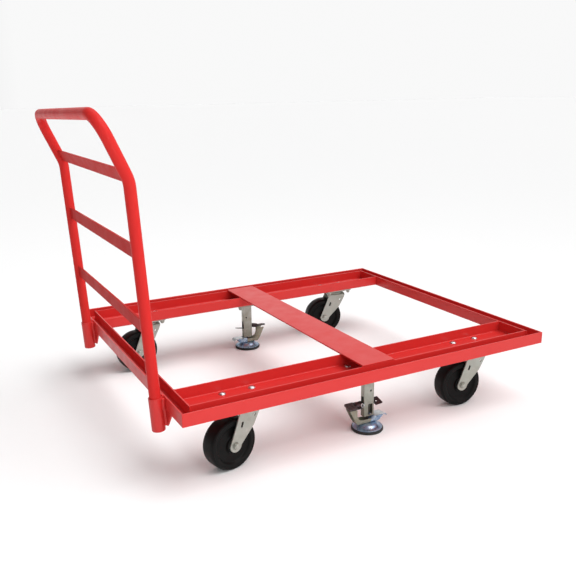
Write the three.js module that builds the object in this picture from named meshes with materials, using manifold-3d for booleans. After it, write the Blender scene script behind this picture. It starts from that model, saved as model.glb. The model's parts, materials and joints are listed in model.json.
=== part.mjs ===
// A pallet-size dolly: an open steel deck on four swivel casters, with two floor locks
// and a push handle that lifts out of its sockets.
// Millimetres, +Z up. The handle is at the -X end, the left side is +Y, the floor is z = 0,
// and the origin is on the floor under the middle of the whole object's box.
import * as THREE from "three";
import { mergeVertices } from "three/addons/utils/BufferGeometryUtils.js";
import Module from "manifold-3d";

const wasm = await Module();
wasm.setup();

const INCH = 25.4;
const GAP = 0.3; // between pieces that touch
const DEG = Math.PI / 180;

// Deck frame
const DECK_LENGTH = 50 * INCH;
const DECK_WIDTH = 42 * INCH;
const ANGLE_SIZE = 1.5 * INCH;
const STEEL = (3 / 16) * INCH;
const CHANNEL_WIDTH = 5 * INCH;
const CHANNEL_BEND = 7;
const CROSSBAR_WIDTH = 4.5 * INCH;

// Mounting plates of casters and locks
const PLATE = { x: 4.5 * INCH, y: 4 * INCH, z: 0.25 * INCH, corner: 8 };
const BOLT = { x: 3.625 * INCH, y: 3 * INCH, shank: 4.75, hole: 5.4, head: 11, headHeight: 4.6 };
const NUT = { radius: 8.2, height: 8 };

// Casters
const CASTER_HEIGHT = 196.8;
const CASTER_FROM_END = 216;
const CASTER_FROM_SIDE = 4 * INCH;
const CASTER_LEAD = 52; // wheel axle behind the swivel axis
const WHEEL = { radius: 3 * INCH, width: 2 * INCH, hub: 24, hubHalf: 27.4, bore: 12.4 };
const BEARING = { outer: 12.1, bore: 6.7, half: 27.8 };
const FORK = { inner: 28.6, thickness: 4, crownTop: 177.7, crown: 5, crownHalf: 37, foot: 19 };
const FORK_SLOT = { x: -28, z: 133, width: 7, height: 18, tilt: 18 };
const FORK_KEYHOLE = { x: 16, z: 151, width: 6, height: 9, tilt: 18 };
const RACE = { outer: 36, bore: 11, height: 12.2 };
const KINGPIN = { radius: 10, hole: 10.6, flange: 16, flangeHeight: 8 };
const AXLE = { radius: 6.35, hole: 6.7, head: 11, headHeight: 7 };
const YAW = { rearRight: 12, rearLeft: 5, frontRight: -5, frontLeft: -14 }; // as parked

// Floor locks
const LOCK_FROM_SIDE = 4 * INCH;
const LOCK_OFFSET = 6; // post axis outboard of the middle of its top plate
const POST = { x: 38, y: 20, wall: 2.5, bottom: 47 };
const POST_SLOT = { x: 2, half: 6.5, top: 87 };
const POST_PIN = { x: 6, z: 130, radius: 3.2 };
const SHELF = { bottom: 114, thickness: 3, hole: 5.2 };
const PLUNGER = { radius: 4.6, bottom: 27.6, flange: 6.9, flangeBottom: 150.6, top: 154 };
const SPRING = { radius: 6, wire: 0.9, turns: 5 };
const FOOT = { pad: 50, padHole: 18, padHeight: 9, cup: 47, cupEdge: 3, dome: 24, domeFlat: 22 };
const STRAP = 3;
const CHEEK = { inner: 10.4, outer: 12.9 };
const STEP = { z: 85, tilt: 14, depth: 34, neck: 13, left: -76, right: 46, tread: 30, hole: 3.5 };
const HINGE = { x: 38, z: 38, pin: 3, hole: 3.4, pinHalf: 16.5 };
const RELEASE = { half: 15.3, ear: 2, thickness: 2.6 };

// Push handle
const TUBE = (1.25 * INCH) / 2;
const LEG_SPACING = 30.5 * INCH;
const LEG_LEAN = 2.75;
const LEG_X = -22.5; // leg axis from the deck's rear face, at the height of the lip
const BEND_UP = 572.5; // heights above the lip
const HAND_UP = 736;
const SKEW = 8; // the bend line and hand bar rise this much at the right leg, drop at the left
const HAND_LEAN = 23.4;
const BEND_RADIUS = 90;
const CORNER_RADIUS = 65;
const SOCKET = { outer: 0.75 * INCH, inner: 16.5, above: -3, below: -100, cap: 5, drain: 4 };
const RUNG = { height: 1.5 * INCH, thickness: 0.25 * INCH, up: [188, 395, 592] };
const GUSSET = { x: 2.6, top: 54, bottom: 14, height: 50 };

const WEB_BOTTOM = CASTER_HEIGHT + GAP;
const LIP = WEB_BOTTOM + ANGLE_SIZE;
const REAR = -DECK_LENGTH / 2;

// ---------- shape helpers ----------

function solid(geometry) {
  const bare = geometry.clone();
  bare.deleteAttribute("normal");
  bare.deleteAttribute("uv");
  const merged = mergeVertices(bare, 1e-3);
  return new wasm.Manifold(
    new wasm.Mesh({
      numProp: 3,
      vertProperties: merged.attributes.position.array,
      triVerts: new Uint32Array(merged.index.array),
    }),
  );
}

function geometryOf(manifold) {
  const mesh = manifold.getMesh();
  const geometry = new THREE.BufferGeometry();
  geometry.setAttribute("position", new THREE.BufferAttribute(mesh.vertProperties, 3));
  geometry.setIndex(new THREE.BufferAttribute(mesh.triVerts, 1));
  geometry.computeVertexNormals();
  return geometry;
}

function join(first, ...rest) {
  return geometryOf(rest.reduce((sum, piece) => sum.add(solid(piece)), solid(first)));
}

function cut(first, ...holes) {
  return geometryOf(holes.reduce((sum, hole) => sum.subtract(solid(hole)), solid(first)));
}

// A box between two corners.
function box(x0, x1, y0, y1, z0, z1) {
  const geometry = new THREE.BoxGeometry(x1 - x0, y1 - y0, z1 - z0);
  return geometry.translate((x0 + x1) / 2, (y0 + y1) / 2, (z0 + z1) / 2);
}

// An upright cylinder from z0 to z1.
function post(radius, z0, z1, sides = 16, x = 0, y = 0) {
  const geometry = new THREE.CylinderGeometry(radius, radius, z1 - z0, sides);
  return geometry.rotateX(Math.PI / 2).translate(x, y, (z0 + z1) / 2);
}

// A cylinder along Y from y0 to y1.
function rod(radius, y0, y1, sides = 16, x = 0, z = 0) {
  const geometry = new THREE.CylinderGeometry(radius, radius, y1 - y0, sides);
  return geometry.translate(x, (y0 + y1) / 2, z);
}

// A profile of [radius, height] points turned about Z.
function turned(points, sides) {
  const profile = points.map(([r, z]) => new THREE.Vector2(r, z));
  return new THREE.LatheGeometry(profile, sides).rotateX(Math.PI / 2);
}

function outline(points) {
  return new THREE.Shape(points.map(([x, y]) => new THREE.Vector2(x, y)));
}

function extruded(shape, depth, curveSegments = 4) {
  return new THREE.ExtrudeGeometry(shape, { depth, bevelEnabled: false, curveSegments });
}

// A section drawn in the Y-Z plane, extruded along X and centred on x = 0.
function alongX(shape, length) {
  const geometry = extruded(shape, length).rotateY(Math.PI / 2).rotateX(Math.PI / 2);
  return geometry.translate(-length / 2, 0, 0);
}

// A side view drawn in the X-Z plane, extruded along Y from y0 to y1.
function alongY(shape, y0, y1, curveSegments = 4) {
  return extruded(shape, y1 - y0, curveSegments).rotateX(Math.PI / 2).translate(0, y1, 0);
}

// A rectangle with rounded corners, about the origin.
function roundedRectangle(width, height, radius) {
  const x = width / 2 - radius;
  const y = height / 2 - radius;
  const shape = new THREE.Shape();
  shape.absarc(x, y, radius, 0, Math.PI / 2);
  shape.absarc(-x, y, radius, Math.PI / 2, Math.PI);
  shape.absarc(-x, -y, radius, Math.PI, 1.5 * Math.PI);
  shape.absarc(x, -y, radius, 1.5 * Math.PI, 2 * Math.PI);
  return shape;
}

// A strip of even thickness along a line of [x, z] points, as an X-Z outline.
function strip(points, thickness) {
  const side = (sign) =>
    points.map(([x, z], i) => {
      const [xa, za] = points[Math.max(i - 1, 0)];
      const [xb, zb] = points[Math.min(i + 1, points.length - 1)];
      const length = Math.hypot(xb - xa, zb - za);
      const offset = (sign * thickness) / 2 / length;
      return [x - (zb - za) * offset, z + (xb - xa) * offset];
    });
  return outline([...side(1), ...side(-1).reverse()]);
}

// Four places on a mounting plate's bolt rectangle.
function boltPlaces() {
  return [-1, 1].flatMap((sx) => [-1, 1].map((sy) => [(sx * BOLT.x) / 2, (sy * BOLT.y) / 2]));
}

// ---------- materials ----------

function material(color, roughness, metalness) {
  return new THREE.MeshStandardMaterial({ color, roughness, metalness });
}

const paint = material(0xd23a34, 0.32, 0);
const zinc = material(0xa5a59b, 0.4, 0.85);
const blueZinc = material(0x8d97a6, 0.3, 0.9);
const darkSteel = material(0x3c3438, 0.5, 0.7);
const tread = material(0x232321, 0.45, 0);
const rubber = material(0x151515, 0.8, 0);

const dolly = new THREE.Group();

function add(group, name, geometry, material) {
  const mesh = new THREE.Mesh(geometry, material);
  mesh.name = name;
  group.add(mesh);
  return mesh;
}

// ---------- deck frame ----------

const INNER = ANGLE_SIZE - STEEL;
const OUTER_LEG = [[STEEL, STEEL], [STEEL, ANGLE_SIZE], [0, ANGLE_SIZE]];
const SIDE_SECTION = [[0, 0], [ANGLE_SIZE, 0], [ANGLE_SIZE, STEEL], ...OUTER_LEG];
const INNER_LEG = [[ANGLE_SIZE, ANGLE_SIZE], [INNER, ANGLE_SIZE], [INNER, STEEL]];
const END_SECTION = [[0, 0], [ANGLE_SIZE, 0], ...INNER_LEG, ...OUTER_LEG];

// A mitred rail: outside bottom edge on the X axis, the section up and towards +Y.
// The sides are angles. The ends are troughs, closed on the inside by a second upright leg.
function mitredRail(section, length) {
  const geometry = alongX(outline(section), length);
  const place = geometry.attributes.position;
  for (let i = 0; i < place.count; i += 1) {
    const end = length / 2 - GAP / 2 - place.getY(i);
    place.setX(i, Math.sign(place.getX(i)) * end);
  }
  return geometry;
}

function addRail(name, section, length, x, y, turn) {
  const rail = add(dolly, name, mitredRail(section, length), paint);
  rail.position.set(x, y, WEB_BOTTOM);
  rail.rotation.z = turn;
}

// A formed channel, flanges up, with clearance holes for the plates bolted under its web.
function channel() {
  const half = CHANNEL_WIDTH / 2 - GAP;
  const inside = CHANNEL_BEND - STEEL;
  const shape = new THREE.Shape();
  shape.absarc(-half + CHANNEL_BEND, CHANNEL_BEND, CHANNEL_BEND, Math.PI, 1.5 * Math.PI);
  shape.absarc(half - CHANNEL_BEND, CHANNEL_BEND, CHANNEL_BEND, 1.5 * Math.PI, 2 * Math.PI);
  shape.lineTo(half, ANGLE_SIZE);
  shape.lineTo(half - STEEL, ANGLE_SIZE);
  shape.absarc(half - CHANNEL_BEND, CHANNEL_BEND, inside, 0, -Math.PI / 2, true);
  shape.absarc(-half + CHANNEL_BEND, CHANNEL_BEND, inside, -Math.PI / 2, -Math.PI, true);
  shape.lineTo(-half + STEEL, ANGLE_SIZE);
  shape.lineTo(-half, ANGLE_SIZE);
  const length = DECK_LENGTH - 2 * ANGLE_SIZE - 2 * GAP;
  const casterX = DECK_LENGTH / 2 - CASTER_FROM_END;
  const holes = [-casterX, 0, casterX].flatMap((middle) =>
    boltPlaces().map(([x, y]) => post(BOLT.hole, -1, STEEL + 1, 8, middle + x, y)),
  );
  return cut(alongX(shape, length), ...holes);
}

function addChannel(name, side) {
  const y = side * (DECK_WIDTH / 2 - ANGLE_SIZE - CHANNEL_WIDTH / 2);
  add(dolly, name, channel(), paint).position.set(0, y, WEB_BOTTOM);
}

function crossbar() {
  const halfY = DECK_WIDTH / 2 - ANGLE_SIZE - GAP;
  const bottom = LIP + GAP;
  return box(-CROSSBAR_WIDTH / 2, CROSSBAR_WIDTH / 2, -halfY, halfY, bottom, bottom + STEEL);
}

addRail("rail_right", SIDE_SECTION, DECK_LENGTH, 0, -DECK_WIDTH / 2, 0);
addRail("rail_left", SIDE_SECTION, DECK_LENGTH, 0, DECK_WIDTH / 2, Math.PI);
addRail("rail_rear", END_SECTION, DECK_WIDTH, REAR, 0, -Math.PI / 2);
addRail("rail_front", END_SECTION, DECK_WIDTH, -REAR, 0, Math.PI / 2);
addChannel("channel_right", -1);
addChannel("channel_left", 1);
add(dolly, "crossbar", crossbar(), paint);

// ---------- handle sockets ----------

function socket() {
  const { outer, inner, above, below, cap, drain } = SOCKET;
  const profile = [
    [drain, below],
    [outer, below],
    [outer, above],
    [inner, above],
    [inner, below + cap],
    [drain, below + cap],
    [drain, below],
  ];
  return turned(profile, 24);
}

// The plate that ties a socket to the underside of the rear rail.
function gusset() {
  const { top, bottom, height } = GUSSET;
  const shape = outline([
    [-bottom, -height],
    [bottom, -height],
    [top, 0],
    [-top, 0],
  ]);
  return alongX(shape, STEEL);
}

for (const [name, side] of [["right", -1], ["left", 1]]) {
  const tube = add(dolly, `socket_${name}`, socket(), paint);
  tube.position.set(REAR + LEG_X, (side * LEG_SPACING) / 2, LIP);
  tube.rotation.y = -LEG_LEAN * DEG;
  const plate = add(dolly, `gusset_${name}`, gusset(), paint);
  plate.position.set(REAR + GUSSET.x + STEEL / 2, (side * LEG_SPACING) / 2, WEB_BOTTOM - GAP);
}

// ---------- push handle ----------

function bendUp(side) {
  return BEND_UP - side * SKEW;
}

// The leg's axis from the deck's rear face at a height above the lip; side 0 is mid-width.
function legX(up, side = 0) {
  const bend = bendUp(side);
  const low = LEG_X - Math.tan(LEG_LEAN * DEG) * Math.min(up, bend);
  return low - Math.tan(HAND_LEAN * DEG) * Math.max(up - bend, 0);
}

// A line through corner points, with each corner rounded to a radius.
function roundedPath(points, radii) {
  const path = new THREE.CurvePath();
  let start = points[0];
  for (let i = 1; i < points.length - 1; i += 1) {
    const corner = points[i];
    const back = points[i - 1].clone().sub(corner).normalize();
    const onward = points[i + 1].clone().sub(corner).normalize();
    const reach = radii[i] / Math.tan(back.angleTo(onward) / 2);
    const enter = corner.clone().addScaledVector(back, reach);
    const leave = corner.clone().addScaledVector(onward, reach);
    path.add(new THREE.LineCurve3(start, enter));
    path.add(new THREE.QuadraticBezierCurve3(enter, corner, leave));
    start = leave;
  }
  path.add(new THREE.LineCurve3(start, points.at(-1)));
  return path;
}

function handlePath() {
  const foot = SOCKET.below + SOCKET.cap + GAP;
  const leg = (side) =>
    [foot, bendUp(side), HAND_UP - side * SKEW].map(
      (up) => new THREE.Vector3(legX(up, side), (side * LEG_SPACING) / 2, up),
    );
  const points = [...leg(-1), ...leg(1).reverse()];
  return roundedPath(points, [0, BEND_RADIUS, CORNER_RADIUS, CORNER_RADIUS, BEND_RADIUS, 0]);
}

function handleTube() {
  const section = new THREE.Shape().absarc(0, 0, TUBE, 0, 2 * Math.PI);
  const extrudePath = handlePath();
  return new THREE.ExtrudeGeometry(section, { steps: 64, extrudePath, curveSegments: 6 });
}

function addRung(handle, name, up) {
  const { thickness, height } = RUNG;
  const bar = new THREE.BoxGeometry(thickness, LEG_SPACING - 2 * (TUBE + GAP), height);
  const rung = add(handle, name, bar, paint);
  rung.position.set(legX(up), 0, up);
  rung.rotation.y = -(up > BEND_UP ? HAND_LEAN : LEG_LEAN) * DEG;
}

const handle = new THREE.Group();
handle.position.set(REAR, 0, LIP);
dolly.add(handle);
add(handle, "handle_tube", handleTube(), paint);
addRung(handle, "rung_lower", RUNG.up[0]);
addRung(handle, "rung_middle", RUNG.up[1]);
addRung(handle, "rung_upper", RUNG.up[2]);

// ---------- mounting plates ----------

// A top plate with its four bolts: domed heads above the channel's web, nuts under the plate.
function boltedPlate() {
  const top = CASTER_HEIGHT;
  const bottom = top - PLATE.z;
  const rim = roundedRectangle(PLATE.x, PLATE.y, PLATE.corner);
  const headBottom = WEB_BOTTOM + STEEL + GAP;
  const shoulder = [0.8 * BOLT.head, headBottom + 0.7 * BOLT.headHeight];
  const dome = [[0, headBottom], [BOLT.head, headBottom], shoulder, [0, headBottom + BOLT.headHeight]];
  const parts = [extruded(rim, PLATE.z, 2).translate(0, 0, bottom)];
  for (const [x, y] of boltPlaces()) {
    parts.push(post(BOLT.shank, bottom, headBottom + 1, 8, x, y));
    parts.push(turned(dome, 10).translate(x, y, 0));
    parts.push(post(NUT.radius, bottom - NUT.height, bottom + 1, 6, x, y));
  }
  return join(...parts);
}

// ---------- casters ----------

// The fixed half: top plate with its bolts and the kingpin riveted through the fork's crown.
function casterPlate() {
  const plateBottom = CASTER_HEIGHT - PLATE.z;
  const crownBottom = FORK.crownTop - FORK.crown;
  const flangeTop = crownBottom - GAP;
  return join(
    boltedPlate(),
    post(KINGPIN.radius, flangeTop - 1, plateBottom + 1, 16),
    post(KINGPIN.flange, flangeTop - KINGPIN.flangeHeight, flangeTop, 16),
  );
}

// The swivel bearing's housing, with a slight waist.
function race() {
  const { bore, outer, height } = RACE;
  const bottom = FORK.crownTop + GAP;
  const top = bottom + height;
  const side = [[outer, bottom], [outer - 3, bottom + height / 2], [outer - 1, top]];
  return turned([[bore, bottom], ...side, [bore, top], [bore, bottom]], 20);
}

// Side view of a fork leg: from the crown back and down to a round end about the axle.
function forkLeg() {
  const top = FORK.crownTop - 1;
  const shape = new THREE.Shape();
  shape.moveTo(-34, top);
  shape.lineTo(-35, 164);
  shape.lineTo(-70, 96);
  shape.absarc(-CASTER_LEAD, WHEEL.radius, FORK.foot, 176 * DEG, 355 * DEG);
  shape.lineTo(12, 121);
  shape.lineTo(32, 158);
  shape.lineTo(34, top);
  return shape;
}

// A cutter for a leaning rectangular hole through both fork legs.
function forkHole({ x, z, width, height, tilt }) {
  const reach = 2 * (FORK.inner + FORK.thickness) + 2;
  return new THREE.BoxGeometry(width, reach, height).rotateY(tilt * DEG).translate(x, 0, z);
}

function fork() {
  const { inner, thickness, crownTop, crown, crownHalf } = FORK;
  const outer = inner + thickness;
  const rim = roundedRectangle(2 * crownHalf, 2 * outer, 6);
  return cut(
    join(
      extruded(rim, crown, 2).translate(0, 0, crownTop - crown),
      alongY(forkLeg(), -outer, -inner, 6),
      alongY(forkLeg(), inner, outer, 6),
    ),
    forkHole(FORK_SLOT),
    forkHole(FORK_KEYHOLE),
    rod(AXLE.hole, -outer - 1, outer + 1, 16, -CASTER_LEAD, WHEEL.radius),
    post(KINGPIN.hole, crownTop - crown - 1, crownTop + 1, 16),
  );
}

// A wheel about Z: crowned tread, flat rim ring, dished web and hub.
function wheel() {
  const { radius, width, hub, hubHalf, bore } = WHEEL;
  const half = width / 2;
  const side = [
    [bore, hubHalf],
    [hub, hubHalf],
    [hub + 3, 19],
    [52, 16.5],
    [56, half - 1],
    [radius - 6, half],
    [radius - 1, half - 5],
    [radius, half - 12],
  ];
  const under = side.map(([r, z]) => [r, -z]);
  return turned([...under, ...side.reverse(), under[0]], 28);
}

function bearing() {
  const { outer, bore, half } = BEARING;
  return turned([[bore, -half], [outer, -half], [outer, half], [bore, half], [bore, -half]], 16);
}

function addCaster(name, x, y, yaw) {
  const caster = new THREE.Group();
  caster.position.set(x, y, 0);
  dolly.add(caster);
  add(caster, `${name}_plate`, casterPlate(), zinc);
  const swivel = new THREE.Group();
  swivel.rotation.z = yaw * DEG;
  caster.add(swivel);
  add(swivel, `${name}_race`, race(), zinc);
  add(swivel, `${name}_fork`, fork(), zinc);
  const hub = new THREE.Group();
  hub.position.set(-CASTER_LEAD, 0, WHEEL.radius);
  swivel.add(hub);
  const outer = FORK.inner + FORK.thickness + GAP;
  const bolt = join(
    rod(AXLE.radius, -outer - AXLE.headHeight - 2, outer + 1, 16),
    rod(AXLE.head, outer, outer + AXLE.headHeight, 6),
  );
  add(hub, `${name}_axle`, bolt, zinc);
  const nut = cut(
    rod(AXLE.head, -outer - AXLE.headHeight, -outer, 6),
    rod(AXLE.hole, -outer - AXLE.headHeight - 1, -outer + 1, 16),
  );
  add(hub, `${name}_axle_nut`, nut, zinc);
  add(hub, `${name}_wheel`, wheel().rotateX(Math.PI / 2), tread);
  add(hub, `${name}_bearing`, bearing().rotateX(Math.PI / 2), darkSteel);
}

const casterX = DECK_LENGTH / 2 - CASTER_FROM_END;
const casterY = DECK_WIDTH / 2 - CASTER_FROM_SIDE;
addCaster("caster_rear_right", -casterX, -casterY, YAW.rearRight);
addCaster("caster_rear_left", -casterX, casterY, YAW.rearLeft);
addCaster("caster_front_right", casterX, -casterY, YAW.frontRight);
addCaster("caster_front_left", casterX, casterY, YAW.frontLeft);

// ---------- floor locks ----------

// Top plate with bolts, and the rectangular post with its shelf, front slot and side windows.
function lockHousing() {
  const { x, y, wall, bottom } = POST;
  const plateBottom = CASTER_HEIGHT - PLATE.z;
  const tube = cut(
    box(-x / 2, x / 2, -y / 2, y / 2, bottom, plateBottom + 1),
    box(-x / 2 + wall, x / 2 - wall, -y / 2 + wall, y / 2 - wall, bottom - 1, plateBottom - 1),
  );
  const shelfTop = SHELF.bottom + SHELF.thickness;
  const shelf = box(-x / 2 + 1, x / 2 - 1, -y / 2 + 1, y / 2 - 1, SHELF.bottom, shelfTop);
  const windowHalf = STEP.neck / 2 + 0.7;
  return cut(
    join(boltedPlate().translate(0, LOCK_OFFSET, 0), tube, shelf),
    post(SHELF.hole, SHELF.bottom - 1, shelfTop + 1, 16),
    box(POST_SLOT.x - POST_SLOT.half, POST_SLOT.x + POST_SLOT.half, -y, 0, bottom - 1, POST_SLOT.top),
    box(-x, x, -windowHalf, windowHalf, STEP.z - 6, SHELF.bottom - 2),
    rod(POST_PIN.radius, -y, y, 12, POST_PIN.x, POST_PIN.z),
  );
}

function plunger() {
  const { radius, bottom, flange, flangeBottom, top } = PLUNGER;
  return join(post(radius, bottom, top, 16), post(flange, flangeBottom, top, 16));
}

class Coil extends THREE.Curve {
  getPoint(t, target = new THREE.Vector3()) {
    const turn = t * SPRING.turns * 2 * Math.PI;
    const low = SHELF.bottom + SHELF.thickness + GAP + SPRING.wire;
    const high = PLUNGER.flangeBottom - GAP - SPRING.wire;
    const z = low + (high - low) * t;
    return target.set(SPRING.radius * Math.cos(turn), SPRING.radius * Math.sin(turn), z);
  }
}

function spring() {
  const section = new THREE.Shape().absarc(0, 0, SPRING.wire, 0, 2 * Math.PI);
  const steps = SPRING.turns * 10;
  return new THREE.ExtrudeGeometry(section, { steps, extrudePath: new Coil(), curveSegments: 3 });
}

// The channel-shaped strap that carries the foot. Its two cheeks rise to the step on the left
// and to the hinge pin of the release pedal on the right.
function yoke() {
  const low = FOOT.dome + GAP;
  const rim = 38;
  const cheek = outline([
    [34, low],
    [42, 32],
    [44.5, 38],
    [42, 41.5],
    [34, 41.5],
    [30, rim],
    [-24, rim],
    [-33, 40],
    [-40, 46],
    [-45, 58],
    [-45, 75],
    [-71.8, 79],
    [-53.3, 41],
    [-42, low],
  ]);
  const { inner, outer } = CHEEK;
  return join(
    box(-38, 32, -inner - 1, inner + 1, low, low + STRAP),
    alongY(cheek, -outer, -inner),
    alongY(cheek, inner, outer),
    rod(HINGE.pin, -HINGE.pinHalf, HINGE.pinHalf, 12, HINGE.x, HINGE.z),
  );
}

// A sheet dome with a flat middle, resting on the pad.
function footCup() {
  const { dome, domeFlat, cup, cupEdge } = FOOT;
  const seat = FOOT.padHeight + GAP;
  const sheet = 3;
  const above = [[cup, seat], [cup, seat + cupEdge], [38, seat + 8], [28, dome - 0.6], [domeFlat, dome]];
  const below = [[0, dome - sheet], [domeFlat + 2, dome - sheet - 0.4], [40, seat + sheet], [44, seat]];
  return turned([...below, ...above, [0, dome]], 24);
}

function footPad() {
  const { pad, padHole, padHeight } = FOOT;
  const edge = [[pad - 2, 0], [pad, 3], [pad, padHeight - 2], [pad - 2, padHeight]];
  return turned([[padHole, 0], ...edge, [padHole, padHeight], [padHole, 0]], 24);
}

// The step pedal: a treaded step on the left, a neck through the post and a broad right end.
function stepPedal() {
  const { z, tilt, depth, neck, left, right } = STEP;
  const half = depth / 2;
  const neckHalf = neck / 2;
  const inner = POST.x / 2 + 3;
  const front = [
    [left, -half],
    [-inner - 6, -half],
    [-inner, -neckHalf],
    [inner, -neckHalf],
    [inner + 3, -half],
    [right, -half],
  ];
  const back = front.map(([x, y]) => [x, -y]).reverse();
  const plate = extruded(outline([...front, ...back]), STRAP).translate(0, 0, -STRAP / 2);
  const pad = box(left, left + STEP.tread, -half, half, STRAP / 2 - 0.5, STRAP + 1.5);
  const hole = post(STEP.hole, -STRAP, STRAP, 12, 32, 0);
  const tilted = cut(join(plate, pad), hole).rotateX(tilt * DEG).translate(0, 0, z);
  return cut(tilted, post(PLUNGER.radius + GAP, 0, 2 * z, 16));
}

// A bent plate over the hinge pin, with an ear outside each cheek of the strap.
function releasePedal() {
  const { half, ear, thickness } = RELEASE;
  const points = [[21, 43], [28, 45], [HINGE.x, 45.5], [54, 45], [60, 42.5], [62.5, 38]];
  const plate = alongY(strip(points, thickness), -half, half);
  const tab = outline([[32, 34], [44, 34], [48, 45], [28, 45]]);
  return cut(
    join(plate, alongY(tab, -half, -half + ear), alongY(tab, half - ear, half)),
    rod(HINGE.hole, -HINGE.pinHalf - 1, HINGE.pinHalf + 1, 12, HINGE.x, HINGE.z),
  );
}

function addLock(name, side) {
  const lock = new THREE.Group();
  const y = DECK_WIDTH / 2 - LOCK_FROM_SIDE + LOCK_OFFSET;
  lock.position.set(0, side * y, 0);
  lock.rotation.z = side > 0 ? Math.PI : 0;
  dolly.add(lock);
  add(lock, `${name}_housing`, lockHousing(), zinc);
  add(lock, `${name}_plunger`, plunger(), darkSteel);
  add(lock, `${name}_spring`, spring(), zinc);
  add(lock, `${name}_yoke`, yoke(), blueZinc);
  add(lock, `${name}_foot_cup`, footCup(), blueZinc);
  add(lock, `${name}_foot_pad`, footPad(), rubber);
  add(lock, `${name}_step_pedal`, stepPedal(), darkSteel);
  add(lock, `${name}_release_pedal`, releasePedal(), blueZinc);
}

addLock("lock_right", -1);
addLock("lock_left", 1);

// The handle's hand bar is the rearmost point, so it sets the middle of the box.
const rearmost = REAR + legX(HAND_UP) - TUBE;
dolly.position.x = (DECK_LENGTH / 2 - rearmost) / 2 - DECK_LENGTH / 2;

const part = new THREE.Group();
part.add(dolly);

export default part;
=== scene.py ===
# A pallet dolly: open steel deck on four swivel casters, two floor locks and a lift-out handle.
# Shapes are drawn in millimetres in each piece's own frame, then placed in metres on the CAD frame.
import json
import math
import random

import bmesh
import bpy
from mathutils import Matrix, Vector


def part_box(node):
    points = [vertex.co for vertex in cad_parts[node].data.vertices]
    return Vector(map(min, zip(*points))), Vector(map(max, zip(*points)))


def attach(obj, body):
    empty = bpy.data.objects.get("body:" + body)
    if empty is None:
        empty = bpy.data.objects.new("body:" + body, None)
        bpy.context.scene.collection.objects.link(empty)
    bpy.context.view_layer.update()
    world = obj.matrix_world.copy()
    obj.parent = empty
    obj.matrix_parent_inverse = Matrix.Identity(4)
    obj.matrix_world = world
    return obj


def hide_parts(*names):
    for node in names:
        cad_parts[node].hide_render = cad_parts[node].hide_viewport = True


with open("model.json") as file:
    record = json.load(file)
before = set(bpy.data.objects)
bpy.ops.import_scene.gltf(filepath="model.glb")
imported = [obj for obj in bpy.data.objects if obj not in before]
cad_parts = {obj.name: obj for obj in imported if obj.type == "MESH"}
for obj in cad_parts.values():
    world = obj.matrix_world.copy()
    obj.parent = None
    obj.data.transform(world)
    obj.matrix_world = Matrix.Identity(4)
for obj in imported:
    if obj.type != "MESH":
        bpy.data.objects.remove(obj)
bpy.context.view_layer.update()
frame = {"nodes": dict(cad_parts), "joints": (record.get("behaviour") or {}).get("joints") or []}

# ---------- sizes, mm ----------
INCH = 25.4
DECK_LENGTH, DECK_WIDTH = 50 * INCH, 42 * INCH
ANGLE, STEEL = 1.5 * INCH, 3 / 16 * INCH
CHANNEL_WIDTH = 5 * INCH
CASTER_HEIGHT, GAP = 196.8, 0.3
WEB = CASTER_HEIGHT + GAP  # underside of the deck
WEB_TOP = WEB + STEEL
LIP = WEB + ANGLE  # top edge of the rails
CROSS_WIDTH = 4.5 * INCH
PLATE = (4.5 * INCH, 4 * INCH, 0.25 * INCH)
BOLT = (3.625 * INCH, 3 * INCH)  # bolt spacing along and across a plate
TUBE = 1.25 * INCH / 2  # radius of the handle's tube
RUNG_THICK, RUNG_WIDE = 0.25 * INCH, 1.5 * INCH
LEG_SPACING = 30.5 * INCH
LEG_LEAN, HAND_LEAN = math.radians(2.75), math.radians(23.4)
# The leg's foot behind the deck; heights of the bend and hand bar above the rails; and each
# side's share of the hand bar's slant.
LEG_X, BEND_UP, HAND_UP, SKEW = -22.5, 572.5, 736, 8
WHEEL_R, LEAD = 3 * INCH, 52  # wheel radius, and how far the axle trails the swivel's axis
REAR = -DECK_LENGTH / 2  # the rear rail's outer face, from the middle of the deck

lo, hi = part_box("rail_right")
DECK_X = (lo.x + hi.x) / 2 * 1000  # middle of the deck in the row frame
DECK = Matrix.Translation((DECK_X, 0, 0))
TO_METRES = Matrix.Scale(0.001, 4)
JOINTS = {joint["name"]: joint for joint in frame["joints"]}


# ---------- outlines ----------
def rounded(points, radius, steps=5, closed=True):
    """The corners of a 2-D or 3-D line rounded to a radius, or to one radius per corner."""
    points = [Vector(p) for p in points]
    radii = radius if isinstance(radius, (list, tuple)) else [radius] * len(points)
    line = []
    for i, corner in enumerate(points):
        end = not closed and i in (0, len(points) - 1)
        if end or radii[i] <= 0:
            line.append(corner)
            continue
        back, onward = points[i - 1] - corner, points[(i + 1) % len(points)] - corner
        room = min(back.length, onward.length) * 0.49
        back, onward = back.normalized(), onward.normalized()
        half = back.angle(onward) / 2
        reach = min(radii[i] / math.tan(half), room)
        arc_radius = reach * math.tan(half)
        centre = corner + (back + onward).normalized() * (arc_radius / math.sin(half))
        u, v = corner + back * reach - centre, corner + onward * reach - centre
        sweep_angle = math.pi - 2 * half
        for k in range(steps + 1):
            t = k / steps
            a = math.sin((1 - t) * sweep_angle) / math.sin(sweep_angle)
            b = math.sin(t * sweep_angle) / math.sin(sweep_angle)
            line.append(centre + u * a + v * b)
    return line


def strip(points, thickness):
    """A closed outline of even thickness along a 2-D line."""
    sides = ([], [])
    for i, p in enumerate(points):
        before = (p - points[i - 1]).normalized() if i else None
        after = (points[i + 1] - p).normalized() if i < len(points) - 1 else None
        along = ((before or after) + (after or before)).normalized()
        normal = Vector((-along.y, along.x))
        stretch = 1 / max(along.dot(before or after), 0.3)
        for side, sign in zip(sides, (1, -1)):
            side.append(p + normal * (sign * thickness / 2 * stretch))
    return sides[0] + sides[1][::-1]


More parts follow.
